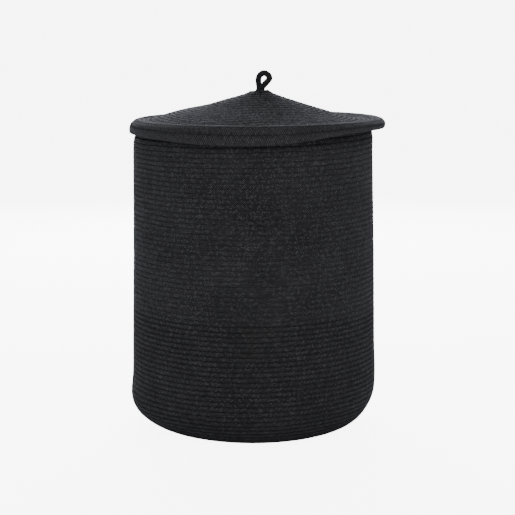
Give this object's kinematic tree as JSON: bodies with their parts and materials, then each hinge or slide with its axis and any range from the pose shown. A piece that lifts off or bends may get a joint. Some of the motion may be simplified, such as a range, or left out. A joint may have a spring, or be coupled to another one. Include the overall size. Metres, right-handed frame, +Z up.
{
  "type": "laundry hamper with lid",
  "caption": "Round laundry hamper of coiled braided rope with a soft heel, and a lift-off shallow cone lid with a rolled brim and a cord loop.",
  "frame": {"origin": "on the floor, under the middle of the lid and of the whole object's box", "axes": "+Z up, +X to the side that the loop leans to, -Y to the front"},
  "size_m": [0.427, 0.427, 0.599],
  "materials": {
    "braided_rope": "soft dull braided cotton, charcoal black",
    "loop_cord": "tight braided cotton cord, near black",
    "sewing_thread": "fine black sewing thread"
  },
  "bodies": {
    "basket": {"base_coil": "braided_rope", "lower_heel_coil": "braided_rope", "upper_heel_coil": "braided_rope", "wall_coil": "braided_rope", "rim_coil": "braided_rope", "basket_rope_end": "braided_rope"},
    "lid": {"peak_coil": "braided_rope", "crown_coil": "braided_rope", "brim_coil": "braided_rope", "lid_rope_end": "braided_rope", "loop_knot": "loop_cord"},
    "loop": {"loop_cord": "loop_cord"}
  },
  "joints": [
    {"name": "lid_lift", "type": "slide", "parent": "basket", "child": "lid", "axis": [0, 0, 1], "range_m": [0, 0.2]},
    {"name": "loop_tilt", "type": "hinge", "parent": "lid", "child": "loop", "pos_m": [0, 0, 0.56933], "axis": [1, 0, 0], "range_deg": [-60, 60], "stiffness_Nm_per_rad": 0.01}
  ]
}
